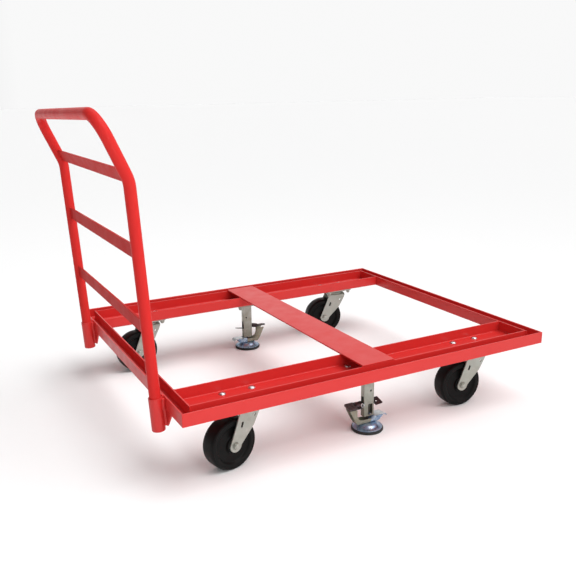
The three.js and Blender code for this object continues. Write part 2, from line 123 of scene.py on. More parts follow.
def rectangle(width, height, radius, x=0, y=0, steps=5):
    w, h = width / 2, height / 2
    corners = [(x - w, y - h), (x + w, y - h), (x + w, y + h), (x - w, y + h)]
    return rounded(corners, radius, steps)


def circle(radius, sides, x=0, y=0):
    turn = 2 * math.pi / sides
    return [Vector((x + radius * math.cos(i * turn), y + radius * math.sin(i * turn))) for i in range(sides)]


# ---------- solids ----------
def make(verts, faces):
    mesh = bpy.data.meshes.new("shape")
    mesh.from_pydata([tuple(v) for v in verts], [], faces)
    work = bmesh.new()
    work.from_mesh(mesh)
    bmesh.ops.recalc_face_normals(work, faces=work.faces)
    work.to_mesh(mesh)
    work.free()
    shape = bpy.data.objects.new("shape", mesh)
    bpy.context.scene.collection.objects.link(shape)
    return shape


def skin(n):
    """The end faces and walls of a solid whose two ends are outlines of n points."""
    walls = [(i, (i + 1) % n, n + (i + 1) % n, n + i) for i in range(n)]
    return [tuple(range(n))[::-1], tuple(range(n, 2 * n)), *walls]


def prism(line, low, high, axis="z"):
    """A closed outline extruded along an axis; the outline lies in the other two, in x, y, z order."""
    put = {
        "x": lambda u, v, w: (w, u, v),
        "y": lambda u, v, w: (u, w, v),
        "z": lambda u, v, w: (u, v, w),
    }[axis]
    verts = [put(p[0], p[1], w) for w in (low, high) for p in line]
    return make(verts, skin(len(line)))


def lathe(profile, sides=64, axis="z"):
    """A profile of (radius, height) turned about an axis; it ends on the axis or closes on itself."""
    verts, rings = [], []
    for r, z in profile:
        count = 1 if r < 1e-6 else sides
        rings.append((len(verts), count))
        for i in range(count):
            a = 2 * math.pi * i / sides
            verts.append((r * math.cos(a), r * math.sin(a), z))
    closed = profile[0] == profile[-1] and profile[0][0] > 1e-6
    if closed:
        rings[-1] = rings[0]
        del verts[-sides:]
    faces = []
    for (s0, n0), (s1, n1) in zip(rings, rings[1:]):
        for i in range(sides):
            j = (i + 1) % sides
            quad = [s0 + i % n0, s0 + j % n0, s1 + j % n1, s1 + i % n1]
            face = [v for k, v in enumerate(quad) if v not in quad[:k]]
            if len(face) > 2:
                faces.append(tuple(face))
    shape = make(verts, faces)
    if axis == "y":
        shape.data.transform(Matrix.Rotation(-math.pi / 2, 4, "X"))
    return shape


def sweep(path, radii, sides=24):
    """A round tube along a line of points, with a radius per point or one for all."""
    path = [Vector(p) for p in path]
    if not isinstance(radii, (list, tuple)):
        radii = [radii] * len(path)
    tangents = []
    for i in range(len(path)):
        tangents.append((path[min(i + 1, len(path) - 1)] - path[max(i - 1, 0)]).normalized())
    normal = tangents[0].orthogonal().normalized()
    verts = []
    for i, p in enumerate(path):
        if i:
            normal = (tangents[i - 1].rotation_difference(tangents[i]) @ normal).normalized()
        other = tangents[i].cross(normal)
        for k in range(sides):
            a = 2 * math.pi * k / sides
            verts.append(p + (normal * math.cos(a) + other * math.sin(a)) * radii[i])
    n = len(path)
    faces = [tuple(range(sides))[::-1], tuple(range((n - 1) * sides, n * sides))]
    for i in range(n - 1):
        for k in range(sides):
            j = (k + 1) % sides
            faces.append((i * sides + k, i * sides + j, (i + 1) * sides + j, (i + 1) * sides + k))
    return make(verts, faces)


def apply_modifiers(shape):
    graph = bpy.context.evaluated_depsgraph_get()
    mesh = bpy.data.meshes.new_from_object(shape.evaluated_get(graph))
    shape.modifiers.clear()
    old, shape.data = shape.data, mesh
    bpy.data.meshes.remove(old)
    return shape


def boolean(shape, operation, *tools):
    for tool in tools:
        step = shape.modifiers.new("boolean", "BOOLEAN")
        step.operation, step.object, step.solver = operation, tool, "EXACT"
    apply_modifiers(shape)
    for tool in tools:
        bpy.data.objects.remove(tool)
    return shape


def cut(shape, *tools):
    return boolean(shape, "DIFFERENCE", *tools)


def bevel(shape, width, segments=2, angle=32):
    step = shape.modifiers.new("bevel", "BEVEL")
    step.width, step.segments = width, segments
    step.limit_method, step.angle_limit = "ANGLE", math.radians(angle)
    return apply_modifiers(shape)


def at(shape, *place):
    """Moves a shape: three numbers shift it, a matrix places it."""
    shape.data.transform(place[0] if len(place) == 1 else Matrix.Translation(place))
    return shape


def join(*shapes):
    """Several shapes as one mesh."""
    work = bmesh.new()
    for shape in shapes:
        work.from_mesh(shape.data)
    mesh = bpy.data.meshes.new("joined")
    work.to_mesh(mesh)
    work.free()
    keep = shapes[0]
    keep.data = mesh
    for shape in shapes[1:]:
        bpy.data.objects.remove(shape)
    return keep


def split_at(shape, x):
    """Cuts the faces along a plane across X, so that each side can have its own material."""
    work = bmesh.new()
    work.from_mesh(shape.data)
    everything = [*work.verts, *work.edges, *work.faces]
    bmesh.ops.bisect_plane(work, geom=everything, plane_co=(x, 0, 0), plane_no=(1, 0, 0))
    work.to_mesh(shape.data)
    work.free()
    return shape


def copies(shape, places):
    """The shape at each place, as one mesh."""
    work = bmesh.new()
    for place in places:
        mesh = shape.data.copy()
        mesh.transform(place if isinstance(place, Matrix) else Matrix.Translation(place))
        work.from_mesh(mesh)
        bpy.data.meshes.remove(mesh)
    work.to_mesh(shape.data)
    work.free()
    return shape


def hexagon(across, low, high, axis="z", chamfer=1.2):
    """A hexagonal nut or bolt head with chamfered corners."""
    corner = across / math.sqrt(3)
    cone = [(0, low), (corner - chamfer, low), (corner + 0.2, low + chamfer * 0.7)]
    cone += [(corner + 0.2, high - chamfer * 0.7), (corner - chamfer, high), (0, high)]
    shape = prism(circle(corner, 6), low, high)
    boolean(shape, "INTERSECT", lathe(cone, 48))
    if axis == "y":
        shape.data.transform(Matrix.Rotation(-math.pi / 2, 4, "X"))
    return shape


def bead(path, radius=2.4, seed=1, pitch=2.6, depth=0.14):
    """A weld bead: overlapping ripples of uneven width along a line."""
    draw = random.Random(seed)
    path = [Vector(p) for p in path]
    points, radii = [], []
    travelled = 0
    for a, b in zip(path, path[1:]):
        steps = max(int((b - a).length / 0.65), 1)
        for k in range(steps):
            points.append(a.lerp(b, k / steps))
            travelled += (b - a).length / steps
            ripple = abs(math.sin(math.pi * travelled / pitch)) ** 0.6
            radii.append(radius * (0.98 - depth + depth * ripple + draw.uniform(-0.2, 0.2) * depth))
    points.append(path[-1])
    radii.append(radius * 0.5)
    radii[0] = radius * 0.5
    return sweep(points, radii, 10)


# ---------- materials ----------
class Shader:
    """A Principled material built from a few noise layers."""

    def __init__(self, name, color, roughness, metallic=0.0, **sockets):
        self.material = bpy.data.materials.new(name)
        self.material.use_nodes = True
        self.tree = self.material.node_tree
        self.shader = self.tree.nodes["Principled BSDF"]
        self.coords = self.node("ShaderNodeTexCoord")
        self.shader.inputs["Base Color"].default_value = (*color, 1)
        self.shader.inputs["Roughness"].default_value = roughness
        self.shader.inputs["Metallic"].default_value = metallic
        for socket, value in sockets.items():
            self.shader.inputs[socket.replace("_", " ")].default_value = value
        self.color, self.bump = color, None

    def node(self, kind, **values):
        node = self.tree.nodes.new(kind)
        for key, value in values.items():
            setattr(node, key, value)
        return node

    def link(self, a, b):
        self.tree.links.new(a, b)

    def noise(self, scale, detail=3.0, stretch=(1, 1, 1), distortion=0.0):
        mapping = self.node("ShaderNodeMapping")
        mapping.inputs["Scale"].default_value = stretch
        noise = self.node("ShaderNodeTexNoise")
        noise.inputs["Scale"].default_value = scale
        noise.inputs["Detail"].default_value = detail
        noise.inputs["Distortion"].default_value = distortion
        self.link(self.coords.outputs["Object"], mapping.inputs["Vector"])
        self.link(mapping.outputs["Vector"], noise.inputs["Vector"])
        return noise.outputs["Fac"]

    def ramp(self, value, low, high, out_low, out_high):
        """The value from low..high mapped to out_low..out_high, held at the ends."""
        node = self.node("ShaderNodeMapRange")
        limits = {"From Min": low, "From Max": high, "To Min": out_low, "To Max": out_high}
        for socket, number in limits.items():
            node.inputs[socket].default_value = number
        self.link(value, node.inputs["Value"])
        return node.outputs["Result"]

    def height(self, low, high):
        """1 at the low level, 0 at the high one, in metres above the floor."""
        split = self.node("ShaderNodeSeparateXYZ")
        self.link(self.coords.outputs["Object"], split.inputs[0])
        return self.ramp(split.outputs["Z"], low, high, 1.0, 0.0)

    def tint(self, mask, color):
        """Mixes another colour in where the mask is 1, over what is there already."""
        # The mix node's colour inputs are 6 and 7, and its colour output is 2.
        mix = self.node("ShaderNodeMix", data_type="RGBA")
        socket = self.shader.inputs["Base Color"]
        if socket.links:
            self.link(socket.links[0].from_socket, mix.inputs[6])
        else:
            mix.inputs[6].default_value = (*self.color, 1)
        mix.inputs[7].default_value = (*color, 1)
        self.link(mask, mix.inputs[0])
        self.link(mix.outputs[2], socket)

    def rough(self, value, low, high):
        self.link(self.ramp(value, 0.3, 0.7, low, high), self.shader.inputs["Roughness"])

    def relief(self, height, strength, distance=0.001):
        bump = self.node("ShaderNodeBump")
        bump.inputs["Strength"].default_value = strength
        bump.inputs["Distance"].default_value = distance
        self.link(height, bump.inputs["Height"])
        if self.bump:
            self.link(self.bump.outputs["Normal"], bump.inputs["Normal"])
        self.link(bump.outputs["Normal"], self.shader.inputs["Normal"])
        self.bump = bump


def red_paint(name, red, specular, coat):
    gloss = {"Specular_IOR_Level": specular, "Coat_Weight": coat, "Coat_Roughness": 0.12}
    m = Shader(name, (red, 0.025, 0.023), 0.38, **gloss)
    m.tint(m.ramp(m.noise(2.2, 2), 0.35, 0.7, 0.0, 0.35), (red * 1.12, 0.036, 0.030))
    m.tint(m.ramp(m.noise(38, 5, distortion=0.4), 0.66, 0.8, 0.0, 0.3), (red * 0.74, 0.018, 0.017))
    m.rough(m.noise(24, 5), 0.28, 0.42)
    m.relief(m.noise(420, 2), 0.10, 0.0006)
    m.relief(m.noise(9, 3), 0.05, 0.004)
    return m.material


def zinc_plate():
    m = Shader("zinc_plate", (0.42, 0.425, 0.385), 0.42, 0.85)
    m.tint(m.ramp(m.noise(14, 5, distortion=0.8), 0.42, 0.68, 0.0, 0.45), (0.32, 0.315, 0.26))
    m.tint(m.ramp(m.noise(130, 6), 0.56, 0.78, 0.0, 0.35), (0.56, 0.56, 0.54))
    m.rough(m.noise(55, 6), 0.34, 0.55)
    m.relief(m.noise(260, 4), 0.12, 0.0005)
    m.relief(m.noise(70, 3, stretch=(1, 1, 9)), 0.05, 0.0006)
    return m.material


def olive_zinc():
    m = Shader("olive_zinc", (0.26, 0.25, 0.19), 0.42, 0.75)
    m.tint(m.ramp(m.noise(20, 5, distortion=0.8), 0.42, 0.68, 0.0, 0.6), (0.40, 0.39, 0.33))
    m.tint(m.ramp(m.noise(60, 4), 0.55, 0.75, 0.0, 0.5), (0.20, 0.16, 0.10))
    m.rough(m.noise(45, 6), 0.32, 0.58)
    m.relief(m.noise(240, 4), 0.15, 0.0005)
    return m.material


def post_zinc():
    """Zinc that turns darker towards the bottom."""
    m = Shader("post_zinc", (0.40, 0.41, 0.37), 0.42, 0.85)
    m.tint(m.ramp(m.noise(22, 5, distortion=0.8), 0.40, 0.62, 0.0, 0.7), (0.29, 0.285, 0.235))
    m.tint(m.height(0.045, 0.13), (0.20, 0.195, 0.155))
    m.tint(m.ramp(m.noise(90, 6), 0.56, 0.76, 0.0, 0.4), (0.46, 0.46, 0.43))
    m.rough(m.noise(55, 6), 0.34, 0.55)
    m.relief(m.noise(260, 4), 0.12, 0.0005)
    return m.material


def blue_zinc():
    m = Shader("blue_zinc", (0.24, 0.34, 0.48), 0.28, 0.7)
    m.tint(m.ramp(m.noise(20, 4, distortion=1.2), 0.45, 0.62, 0.0, 0.7), (0.48, 0.56, 0.64))
    m.tint(m.ramp(m.noise(48, 5), 0.54, 0.68, 0.0, 0.75), (0.08, 0.12, 0.19))
    m.rough(m.noise(40, 5), 0.2, 0.38)
    m.relief(m.noise(200, 3), 0.08, 0.0005)
    return m.material


def bright_zinc():
    m = Shader("bright_zinc", (0.66, 0.67, 0.68), 0.26, 1.0)
    m.tint(m.ramp(m.noise(90, 5), 0.45, 0.7, 0.0, 0.4), (0.50, 0.50, 0.50))
    m.rough(m.noise(80, 4), 0.2, 0.4)
    m.relief(m.noise(300, 3), 0.08, 0.0004)
    return m.material


def dark_steel():
    m = Shader("dark_steel", (0.050, 0.034, 0.038), 0.42, 0.55)
    m.tint(m.ramp(m.noise(30, 5, distortion=0.6), 0.5, 0.72, 0.0, 0.5), (0.10, 0.055, 0.060))
    m.rough(m.noise(60, 5), 0.32, 0.55)
    m.relief(m.noise(260, 4), 0.15, 0.0005)
    return m.material


def grip_steel():
    m = Shader("grip_steel", (0.12, 0.105, 0.105), 0.45, 0.6)
    m.tint(m.ramp(m.noise(70, 5), 0.48, 0.66, 0.0, 0.8), (0.045, 0.036, 0.038))
    m.rough(m.noise(60, 5), 0.36, 0.6)
    m.relief(m.noise(260, 4), 0.2, 0.0005)
    return m.material


def tread_rubber():
    m = Shader("hard_tread", (0.0045, 0.0043, 0.0042), 0.38, Specular_IOR_Level=0.12)
    m.tint(m.ramp(m.noise(16, 4), 0.45, 0.75, 0.0, 0.5), (0.009, 0.0085, 0.0075))
    m.tint(m.ramp(m.noise(240, 5), 0.62, 0.75, 0.0, 0.3), (0.04, 0.038, 0.034))
    m.rough(m.noise(30, 5), 0.34, 0.52)
    m.relief(m.noise(500, 3), 0.16, 0.0004)
    m.relief(m.noise(60, 4), 0.08, 0.0008)
    return m.material


def pad_rubber():
    m = Shader("pad_rubber", (0.010, 0.010, 0.010), 0.66)
    m.tint(m.ramp(m.noise(120, 5), 0.5, 0.75, 0.0, 0.4), (0.035, 0.034, 0.032))
    m.rough(m.noise(60, 4), 0.55, 0.8)
    m.relief(m.noise(380, 4), 0.25, 0.0006)
    return m.material


PAINT = red_paint("red_paint", 0.60, 0.3, 0.1)
HANDLE_PAINT = red_paint("red_paint_handle", 0.60, 0.04, 0.05)
# The rungs' paint is a darker copy of the red paint: painted shade for the rungs' shaded faces.
SHADED_RUNG_PAINT = red_paint("red_paint_rungs_painted_shade", 0.50, 0.01, 0.0)
ZINC, OLIVE, BLUE, POST_ZINC = zinc_plate(), olive_zinc(), blue_zinc(), post_zinc()
BRIGHT, DARK, GRIP = bright_zinc(), dark_steel(), grip_steel()
TREAD, RUBBER = tread_rubber(), pad_rubber()


def piece(name, shape, place, material, body, slot, *nodes):
    """Names a finished shape, places it in the row frame and ties it to its CAD body and nodes."""
    shape.name = shape.data.name = name
    shape.data.transform(TO_METRES @ place)
    shape.data.materials.clear()
    shape.data.materials.append(material)
    shape.data.shade_smooth()
    shape.data.set_sharp_from_angle(angle=math.radians(38))
    shape.modifiers.new("flat_faces", "WEIGHTED_NORMAL").keep_sharp = True
    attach(shape, body)
    if nodes:
        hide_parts(*nodes)
    return shape


# ---------- deck frame ----------
def turned_z(degrees, x=0, y=0, z=0):
    return Matrix.Translation((x, y, z)) @ Matrix.Rotation(math.radians(degrees), 4, "Z")


INNER = ANGLE - STEEL
OUTER_LEG = [(STEEL, STEEL, 4.5), (STEEL, ANGLE, 2.4), (0, ANGLE, 0.7)]
SIDE_SECTION = [(0, 0, 1.1), (ANGLE, 0, 0.7), (ANGLE, STEEL, 2.4), *OUTER_LEG]
INNER_LEG = [(ANGLE, ANGLE, 0.8), (INNER, ANGLE, 0.8), (INNER, STEEL, 2.5)]
END_SECTION = [(0, 0, 1.1), (ANGLE, 0, 0.7), *INNER_LEG, *OUTER_LEG]


def mitred_rail(section, length):
    """A rail with its outside bottom edge on X; the section goes up and towards +Y."""
    line = rounded([(u, v) for u, v, _ in section], [radius for _, _, radius in section])
    verts = [(sign * (length / 2 - p.x), p.x, p.y) for sign in (-1, 1) for p in line]
    return make(verts, skin(len(line)))


RAILS = {
    "right": (SIDE_SECTION, DECK_LENGTH, 0, 0, -DECK_WIDTH / 2),
    "left": (SIDE_SECTION, DECK_LENGTH, 180, 0, DECK_WIDTH / 2),
    "rear": (END_SECTION, DECK_WIDTH, -90, REAR, 0),
    "front": (END_SECTION, DECK_WIDTH, 90, -REAR, 0),
}
for side, (section, length, turn, x, y) in RAILS.items():
    place = DECK @ turned_z(turn, x, y, WEB)
    piece(f"mitred_{side}", mitred_rail(section, length), place, PAINT, "deck", "red_paint", f"rail_{side}")

CHANNEL_HALF = CHANNEL_WIDTH / 2 - GAP
CHANNEL_LENGTH = DECK_LENGTH - 2 * ANGLE - 0.2
CHANNEL_Y = DECK_WIDTH / 2 - ANGLE - CHANNEL_WIDTH / 2


def formed_channel():
    h, t = CHANNEL_HALF - STEEL / 2, STEEL / 2
    bend = rounded([(-h, ANGLE), (-h, t), (h, t), (h, ANGLE)], 4.7, 8, closed=False)
    shape = prism(strip(bend, STEEL), -CHANNEL_LENGTH / 2, CHANNEL_LENGTH / 2, "x")
    return bevel(shape, 0.7, 2)


for side, sign in (("right", -1), ("left", 1)):
    place = DECK @ Matrix.Translation((0, sign * CHANNEL_Y, WEB))
    piece(f"formed_channel_{side}", formed_channel(), place, PAINT, "deck", "red_paint", f"channel_{side}")

cross_half = DECK_WIDTH / 2 - ANGLE - 0.5
cross_outline = rectangle(CROSS_WIDTH, 2 * cross_half, 1.5)
cross = bevel(prism(cross_outline, LIP + 0.1, LIP + GAP + STEEL), 0.9, 3)
piece("cross_plate", cross, DECK, PAINT, "deck", "red_paint", "crossbar")

# Welds: corners, channel ends, stitches beside the channels, and under the crossbar's edges.
welds = []
half_x, half_y = DECK_LENGTH / 2, DECK_WIDTH / 2
STITCH, FIRST_STITCH, STITCH_STEP = 38, 95, 190
seed = 10
for sx in (-1, 1):
    for sy in (-1, 1):
        x, y = sx * (half_x - 1.1), sy * (half_y - 1.1)
        welds.append(bead([(x, y, WEB + 1.5), (x, y, LIP - 1.5)], 1.5, seed))
        x, y = sx * (half_x - STEEL - 1.2), sy * (half_y - STEEL - 1.2)
        welds.append(bead([(x, y, WEB_TOP + 1), (x, y, LIP - 6)], 2.4, seed + 1))
        channel_y, end_x = sy * CHANNEL_Y, CHANNEL_LENGTH / 2
        flange_ys = [channel_y + flange * (CHANNEL_HALF - STEEL / 2) for flange in (-1, 1)]
        for y in flange_ys:
            x, z = sx * (end_x + 0.2), LIP - 0.5
            welds.append(bead([(x, y - 2, z), (x, y + 2, z)], 1.7, seed + 8))
        x, z, reach = sx * (end_x + 0.1), WEB_TOP + 0.6, CHANNEL_HALF - 9
        welds.append(bead([(x, channel_y - reach, z), (x, channel_y + reach, z)], 2.6, seed + 2))
        y, z = sy * (half_y - ANGLE - 0.2), WEB_TOP + 0.3
        for k in range(3):
            x = sx * (FIRST_STITCH + STITCH_STEP * k)
            welds.append(bead([(x, y, z), (x + sx * STITCH, y, z)], 2.3, seed + 3 + k))
        for y in flange_ys:
            x, z = sx * (CROSS_WIDTH / 2 + 0.4), LIP - 0.2
            welds.append(bead([(x, y - 2.6, z), (x, y + 2.6, z)], 2.2, seed + 7))
        seed += 10

# ---------- handle sockets ----------
SOCKET_R, SOCKET_IN = 0.75 * INCH, 16.5
SOCKET_TOP, SOCKET_LOW = -3, -100


def socket():
    top, low = SOCKET_TOP, SOCKET_LOW
    profile = [(4, low), (SOCKET_R - 1.6, low), (SOCKET_R - 0.4, low + 0.6), (SOCKET_R, low + 2)]
    profile += [(SOCKET_R, top - 0.8), (SOCKET_R - 0.6, top), (SOCKET_IN + 0.5, top), (SOCKET_IN, top - 0.6)]
    profile += [(SOCKET_IN, low + 5), (4, low + 5), (4, low)]
    return lathe(profile, 72)


def gusset():
    line = rounded([(-14, -50), (14, -50), (54, 0), (-54, 0)], [4, 4, 2, 2])
    return bevel(prism(line, -STEEL / 2, STEEL / 2, "x"), 0.7, 2)


for side, sign in (("right", -1), ("left", 1)):
    y = sign * LEG_SPACING / 2
    lean = Matrix.Translation((REAR + LEG_X, y, LIP)) @ Matrix.Rotation(-LEG_LEAN, 4, "Y")
    piece(f"socket_tube_{side}", socket(), DECK @ lean, PAINT, "deck", "red_paint", f"socket_{side}")
    place = DECK @ Matrix.Translation((REAR + 2.6 + STEEL / 2, y, WEB - 0.1))
    piece(f"socket_gusset_{side}", gusset(), place, PAINT, "deck", "red_paint", f"gusset_{side}")
    for edge in (-1, 1):
        # Fillets between the socket and the rail's outer face, then down the gusset.
        beside = y + edge * 12.5
        at_rail = [(REAR - 3.4, beside, WEB + 1), (REAR - 4.2, beside, LIP - 4)]
        welds.append(bead(at_rail, 6.6, seed, pitch=5, depth=0.05))
        at_gusset = [(REAR + 0.6, beside, WEB - 46), (REAR - 1.4, beside, WEB + 3)]
        welds.append(bead(at_gusset, 6.4, seed + 1, pitch=5, depth=0.05))
        foot = [(REAR + 1.6, y + edge * 20, WEB - 0.4), (REAR + 1.6, y + edge * 50, WEB - 0.4)]
        welds.append(bead(foot, 2.4, seed + 2))
        seed += 5
    welds.append(bead([(REAR - 2.4, y - 8, LIP - 1.5), (REAR - 2.4, y + 8, LIP - 1.5)], 2.8, seed))

piece("deck_welds", join(*welds), DECK, PAINT, "deck", "red_paint")


# ---------- push handle ----------
def bend_up(side):
    return BEND_UP - side * SKEW


def leg_x(up, side=0):
    bend = bend_up(side)
    return LEG_X - math.tan(LEG_LEAN) * min(up, bend) - math.tan(HAND_LEAN) * max(up - bend, 0)


HANDLE = DECK @ Matrix.Translation((REAR, 0, LIP))
corners = []
for side, levels in ((-1, (0, 1, 2)), (1, (2, 1, 0))):
    heights = (SOCKET_LOW + 5.3, bend_up(side), HAND_UP - side * SKEW)
    corners += [(leg_x(heights[k], side), side * LEG_SPACING / 2, heights[k]) for k in levels]
axis_line = rounded(corners, [0, 95, 68, 68, 95, 0], 20, closed=False)
tube_path = [axis_line[0]]
for a, b in zip(axis_line, axis_line[1:]):
    steps = max(int((b - a).length / 25), 1)
    tube_path += [a.lerp(b, (k + 1) / steps) for k in range(steps)]
bent_tube = sweep(tube_path, TUBE, 48)
piece("handle_bent_tube", bent_tube, HANDLE, HANDLE_PAINT, "handle", "red_paint", "handle_tube")

RUNGS = {"lower": 188, "middle": 395, "upper": 592}
handle_welds = []
for number, (name, up) in enumerate(RUNGS.items()):
    lean = HAND_LEAN if up > BEND_UP else LEG_LEAN
    place = Matrix.Translation((leg_x(up), 0, up)) @ Matrix.Rotation(-lean, 4, "Y")
    half = LEG_SPACING / 2 - TUBE + 1.2
    bar = bevel(prism(rectangle(RUNG_THICK, RUNG_WIDE, 0.9), -half, half, "y"), 0.5, 2)
    # The rungs take the darker red: painted shade.
    piece(f"rung_bar_{name}", bar, HANDLE @ place, SHADED_RUNG_PAINT, "handle", "red_paint", f"rung_{name}")
    for side in (-1, 1):
        y = side * (LEG_SPACING / 2 - TUBE + 0.2)
        ring = rectangle(RUNG_THICK + 2.2, RUNG_WIDE + 1.6, 2.5, steps=4)
        loop = [(p.x, y, p.y) for p in ring + ring[:1]]
        handle_welds.append(at(bead(loop, 2.1, 200 + number * 2 + side), place))
piece("handle_welds", join(*handle_welds), HANDLE, HANDLE_PAINT, "handle", "red_paint")


# ---------- mounting plates ----------
def bolt_places():
    return [Vector((sx * BOLT[0] / 2, sy * BOLT[1] / 2, 0)) for sx in (-1, 1) for sy in (-1, 1)]


def top_plate():
    bottom = CASTER_HEIGHT - PLATE[2]
    return bevel(prism(rectangle(PLATE[0], PLATE[1], 9), bottom, CASTER_HEIGHT + 0.2), 0.9, 3)


def bolt_set():
    """Domed bolt heads on the channel's web, with washers."""
    seat = WEB_TOP
    rim = [(10.8, seat), (11, seat + 0.3), (11, seat + 1.1), (10.7, seat + 1.4)]
    washer = lathe([(0, seat), *rim, (0, seat + 1.4)], 32)
    turns = [k * math.pi / 2 / 8 for k in range(8)]
    dome = [(9.2 * math.cos(a), seat + 1.3 + 4.0 * math.sin(a)) for a in turns]
    return join(washer, lathe([(0, seat + 1), (9.2, seat + 1), *dome, (0, seat + 5.3)], 32))


def nut_set():
    low = CASTER_HEIGHT - PLATE[2]
    nut = hexagon(14.3, low - 9.4, low - 1.5)
    rim = [(9.6, low), (9.8, low - 0.4), (9.8, low - 1.2), (9.5, low - 1.6)]
    ring = lathe([(0, low), *rim, (0, low - 1.6)], 28)
    end = [(0, low - 13.2), (3.6, low - 13.2), (4.6, low - 12.2)]
    for k in range(5):
        z = low - 12.0 + k * 1.1
        end += [(4.7, z), (4.1, z + 0.55)]
    thread = lathe([*end, (4.6, low - 2), (0, low - 2)], 20)
    return join(nut, ring, thread)


def kingpin():
    """The riveted pin under the fork's crown."""
    low, crown = 166.2, 172.2
    dome = [(0, low - 1.5), (8, low - 0.9), (13, low + 1.2), (15.6, low + 4.4), (15.8, crown), (10, crown)]
    return lathe([*dome, (10, CASTER_HEIGHT - 3), (0, CASTER_HEIGHT - 3)], 40)


# ---------- casters ----------
def race():
    """Two pressed cups with the ball gap between them."""
    low, high = 177.6, CASTER_HEIGHT - PLATE[2]
    side = [(34.5, low), (36, low + 1), (36, low + 3.4), (34.2, low + 5.2), (32.4, low + 5.6)]
    side += [(32.4, low + 6.6), (34.6, low + 6.9), (35.2, low + 8), (34.6, low + 10), (31, high)]
    return lathe([(11, low), *side, (11, high), (11, low)], 72)


def fork():
    """A pressed fork: a flat crown bent down into two tapering legs with round ends."""
    reach, sheet, crown = 30.6, 4.2, 175.3
    bend = rounded([(-reach, 40), (-reach, crown), (reach, crown), (reach, 40)], 8, 8, closed=False)
    body = prism(strip(bend, sheet), -95, 50, "x")
    turns = [math.radians(176 + 179 * k / 22) for k in range(23)]
    foot = [Vector((-LEAD + 19 * math.cos(a), WHEEL_R + 19 * math.sin(a))) for a in turns]
    front = rounded([foot[-1], (12, 121), (32, 158), (37, 170), (37, 179)], [0, 30, 14, 4, 0], closed=False)
    back = rounded([(37, 179), (-37, 179), (-37, 168), (-35, 164), foot[0]], [0, 0, 3, 8, 0], closed=False)
    shape = foot[:-1] + front + back[1:-1]
    boolean(body, "INTERSECT", prism(shape, -60, 60, "y"))
    tools = []
    for x, z, width, height in ((-28, 133, 6.6, 17.5), (16, 151, 5.6, 8.6)):
        tool = prism(rectangle(width, height, width / 2 - 0.1, steps=6), -60, 60, "y")
        tools.append(at(tool, Matrix.Translation((x, 0, z)) @ Matrix.Rotation(math.radians(18), 4, "Y")))
    tools.append(at(lathe([(0, -60), (6.7, -60), (6.7, 60), (0, 60)], 32, "y"), -LEAD, 0, WHEEL_R))
    tools.append(lathe([(0, 160), (10.4, 160), (10.4, 190), (0, 190)], 40))
    return bevel(cut(body, *tools), 0.6, 2)


def wheel():
    """A solid wheel: crowned tread, flat rim ring, dished web and a raised hub, both sides alike."""
    half = [(12.5, 27.2), (13.2, 27.5), (22.6, 27.5), (23.8, 26.6), (25.2, 20.0), (27.2, 18.4), (31, 17.6)]
    half += [(48, 16.2), (51.5, 16.6), (54.2, 18.6), (56.2, 22.6), (58.0, 24.1), (60.5, 24.6), (66.5, 24.6)]
    half += [(67.3, 24.2), (68.0, 24.4), (69.5, 25.3), (71.5, 24.6), (73.6, 22.8), (75.0, 20.0)]
    half += [(75.7, 16.0), (76.05, 9), (76.2, 0)]
    other = [(r, -z) for r, z in half[:-1]]
    return lathe([*other, *half[::-1], other[0]], 112, "y")


def bearing():
    side = [(6.8, 27.9), (10.8, 27.9), (11.9, 27.2), (12.1, 26.0)]
    other = [(r, -z) for r, z in side]
    return lathe([*other, *side[::-1], other[0]], 40, "y")


def axle_bolt():
    """A hex-headed bolt along Y, head at +Y, with its thread end past the nut."""
    seat = 32.9
    shank = [(0, -seat - 9.4), (5.2, -seat - 9.4), (6.2, -seat - 8.6), (6.3, seat + 2), (0, seat + 2)]
    washer = lathe([(0, seat), (11, seat), (11.3, seat + 0.5), (11, seat + 1.4), (0, seat + 1.4)], 40, "y")
    return join(lathe(shank, 32, "y"), washer, hexagon(17.5, seat + 1.3, seat + 7, "y"))


def axle_nut():
    """A locking nut with its collar, on a washer."""
    seat = -32.9
    washer = [(6.5, seat), (11, seat), (11.3, seat - 0.6), (11, seat - 1.4), (6.5, seat - 1.4), (6.5, seat)]
    collar = [(6.4, seat - 6), (8.4, seat - 6), (8.3, seat - 7.2), (7.4, seat - 7.9), (6.4, seat - 7.9)]
    nut = at(hexagon(17.5, -2.4, 2.6, "y"), 0, seat - 3.9, 0)
    return join(lathe(washer, 40, "y"), nut, lathe([*collar, collar[0]], 40, "y"))


for end in ("rear", "front"):
    for side in ("right", "left"):
        name = f"caster_{end}_{side}"
        swivel, roll = JOINTS[f"{name}_swivel"], JOINTS[f"{name}_roll"]
        x, y = swivel["pos_m"][0] * 1000, swivel["pos_m"][1] * 1000
        yaw = math.degrees(math.atan2(-roll["axis"][0], roll["axis"][1]))
        fixed, turning = turned_z(0, x, y), turned_z(yaw, x, y)
        hub = turning @ Matrix.Translation((-LEAD, 0, WHEEL_R))
        top = join(top_plate(), kingpin(), copies(nut_set(), bolt_places()))
        piece(f"{name}_top_plate", top, fixed, ZINC, "deck", "zinc", f"{name}_plate")
        piece(f"{name}_bolt_heads", copies(bolt_set(), bolt_places()), fixed, BRIGHT, "deck", "zinc")
        swivel_body, wheel_body = f"{name}_swivel_body", f"{name}_wheel_body"
        piece(f"{name}_ball_race", race(), turning, ZINC, swivel_body, "zinc", f"{name}_race")
        piece(f"{name}_pressed_fork", fork(), turning, ZINC, swivel_body, "zinc", f"{name}_fork")
        piece(f"{name}_axle_bolt", axle_bolt(), hub, ZINC, swivel_body, "zinc", f"{name}_axle")
        piece(f"{name}_lock_nut", axle_nut(), hub, ZINC, swivel_body, "zinc", f"{name}_axle_nut")
        piece(f"{name}_solid_wheel", wheel(), hub, TREAD, wheel_body, "tread", f"{name}_wheel")
        piece(f"{name}_bearing_sleeve", bearing(), hub, DARK, wheel_body, "dark_steel", f"{name}_bearing")


